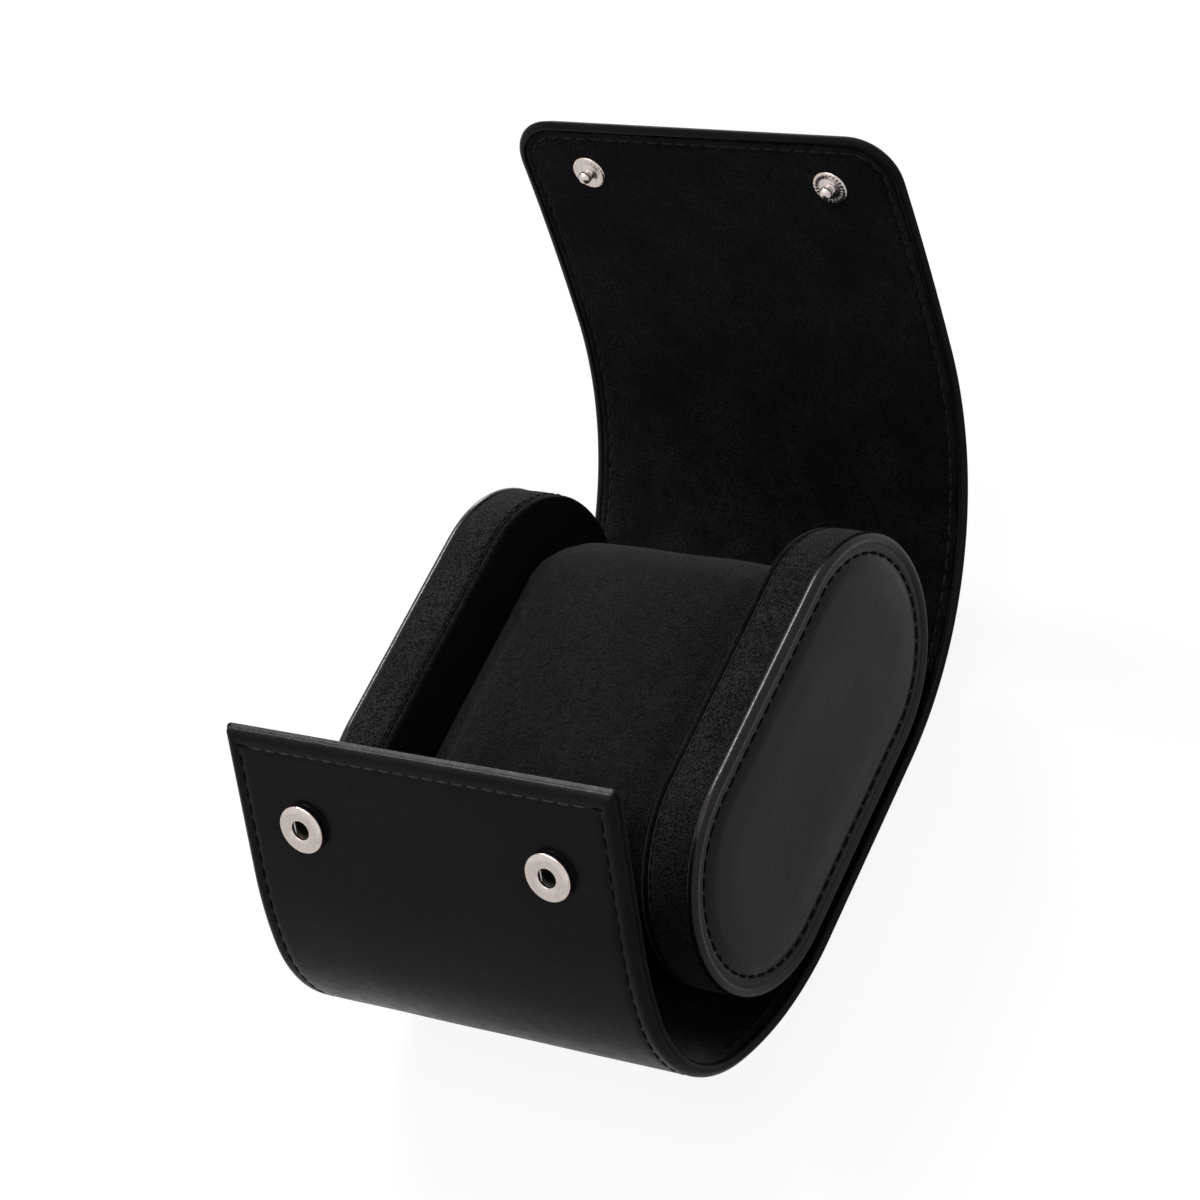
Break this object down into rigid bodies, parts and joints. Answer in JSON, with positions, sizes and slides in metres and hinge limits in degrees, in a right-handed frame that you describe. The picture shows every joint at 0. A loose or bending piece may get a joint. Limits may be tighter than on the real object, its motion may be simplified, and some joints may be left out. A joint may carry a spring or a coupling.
{
  "type": "watch roll",
  "caption": "Travel watch roll: a leather wrap lined with suede, round-ended padded cheeks, a lift-out pillow, and a lid that folds over the flap and snaps shut.",
  "frame": {"origin": "on the outside of the wrap's flat back, below the middle of the cheeks", "axes": "+X across the wrap, +Y from the flap to the lid, +Z to the open side; the roll lies on its back"},
  "size_m": [0.088, 0.1629, 0.0976],
  "materials": {
    "leather": "satin",
    "suede": "matte",
    "pillow_suede": "matte",
    "board": "matte",
    "foam": "matte",
    "nickel": "polished",
    "spring_steel": "satin"
  },
  "bodies": {
    "base": {"back_board": "board", "back_leather": "leather", "back_lining": "suede", "left_cheek_band": "suede", "left_cheek_core": "board", "left_cheek_face": "leather", "left_cheek_foot": "board", "left_cheek_inner_panel": "suede", "left_cheek_pad": "foam", "left_cheek_piping": "leather", "right_cheek_band": "suede", "right_cheek_core": "board", "right_cheek_face": "leather", "right_cheek_foot": "board", "right_cheek_inner_panel": "suede", "right_cheek_pad": "foam", "right_cheek_piping": "leather"},
    "lid_strip_1": {"lid_strip_1_leather": "leather", "lid_strip_1_lining": "suede"},
    "lid_strip_2": {"lid_strip_2_leather": "leather", "lid_strip_2_lining": "suede"},
    "lid_strip_3": {"lid_strip_3_leather": "leather", "lid_strip_3_lining": "suede"},
    "lid_strip_4": {"lid_strip_4_leather": "leather", "lid_strip_4_lining": "suede"},
    "lid_panel": {"lid_strip_5_leather": "leather", "lid_strip_5_lining": "suede", "lid_panel_board": "board", "lid_panel_leather": "leather", "lid_panel_lining": "suede"},
    "lid_front": {"lid_front_board": "board", "lid_front_leather": "leather", "lid_front_lining": "suede", "lid_stud_rivets": "nickel", "lid_studs": "nickel"},
    "flap_strip_1": {"flap_strip_1_leather": "leather", "flap_strip_1_lining": "suede"},
    "flap_strip_2": {"flap_strip_2_leather": "leather", "flap_strip_2_lining": "suede"},
    "flap_strip_3": {"flap_strip_3_leather": "leather", "flap_strip_3_lining": "suede"},
    "flap_strip_4": {"flap_strip_4_leather": "leather", "flap_strip_4_lining": "suede"},
    "flap_panel": {"flap_panel_board": "board", "flap_panel_leather": "leather", "flap_panel_lining": "suede", "flap_socket_posts": "nickel", "flap_socket_springs": "spring_steel", "flap_sockets": "nickel"},
    "pillow": {"pillow_core": "foam", "pillow_cover": "pillow_suede", "pillow_left_end": "pillow_suede", "pillow_right_end": "pillow_suede"}
  },
  "joints": [
    {"name": "lid_bend_1", "type": "hinge", "parent": "base", "child": "lid_strip_1", "pos_m": [0, 0.0195, 0.0026], "axis": [1, 0, 0], "range_deg": [0, 4.34]},
    {"name": "lid_close", "type": "hinge", "parent": "lid_strip_1", "child": "lid_strip_2", "pos_m": [0, 0.03612, 0.00475], "axis": [1, 0, 0], "range_deg": [0, 21.61]},
    {"name": "lid_bend_3", "type": "hinge", "parent": "lid_strip_2", "child": "lid_strip_3", "pos_m": [0, 0.05164, 0.01104], "axis": [1, 0, 0], "range_deg": [0, 21.63]},
    {"name": "lid_bend_4", "type": "hinge", "parent": "lid_strip_3", "child": "lid_strip_4", "pos_m": [0, 0.06506, 0.02108], "axis": [1, 0, 0], "range_deg": [0, 21.63]},
    {"name": "lid_bend_5", "type": "hinge", "parent": "lid_strip_4", "child": "lid_panel", "pos_m": [0, 0.07548, 0.03419], "axis": [1, 0, 0], "range_deg": [0, 21.63]},
    {"name": "lid_bend_6", "type": "hinge", "parent": "lid_panel", "child": "lid_front", "pos_m": [0, 0.08729, 0.06814], "axis": [1, 0, 0], "range_deg": [0, 11.32]},
    {"name": "flap_bend_1", "type": "hinge", "parent": "base", "child": "flap_strip_1", "pos_m": [0, -0.0222, 0.0026], "axis": [-1, 0, 0], "range_deg": [0, 8.58]},
    {"name": "flap_close", "type": "hinge", "parent": "flap_strip_1", "child": "flap_strip_2", "pos_m": [0, -0.03845, 0.00507], "axis": [-1, 0, 0], "range_deg": [0, 18.42]},
    {"name": "flap_bend_3", "type": "hinge", "parent": "flap_strip_2", "child": "flap_strip_3", "pos_m": [0, -0.05324, 0.01224], "axis": [-1, 0, 0], "range_deg": [0, 7.7]},
    {"name": "flap_bend_4", "type": "hinge", "parent": "flap_strip_3", "child": "flap_strip_4", "pos_m": [0, -0.0631, 0.04071], "axis": [-1, 0, 0], "range_deg": [0, 10.12]},
    {"name": "flap_bend_5", "type": "hinge", "parent": "flap_strip_4", "child": "flap_panel", "pos_m": [0, -0.05666, 0.05565], "axis": [-1, 0, 0], "range_deg": [0, 15.98]},
    {"name": "pillow_lift", "type": "slide", "parent": "base", "child": "pillow", "axis": [0, 0.14, 0.9902], "range_m": [0, 0.06]}
  ],
  "couplings": [
    {"joint": "lid_bend_1", "follows": "lid_close", "ratio": 0.19979},
    {"joint": "lid_bend_3", "follows": "lid_close", "ratio": 1},
    {"joint": "lid_bend_4", "follows": "lid_close", "ratio": 1},
    {"joint": "lid_bend_5", "follows": "lid_close", "ratio": 1},
    {"joint": "lid_bend_6", "follows": "lid_close", "ratio": 0.52282},
    {"joint": "flap_bend_1", "follows": "flap_close", "ratio": 0.46479},
    {"joint": "flap_bend_3", "follows": "flap_close", "ratio": 0.41675},
    {"joint": "flap_bend_4", "follows": "flap_close", "ratio": 0.54826},
    {"joint": "flap_bend_5", "follows": "flap_close", "ratio": 0.86622}
  ]
}
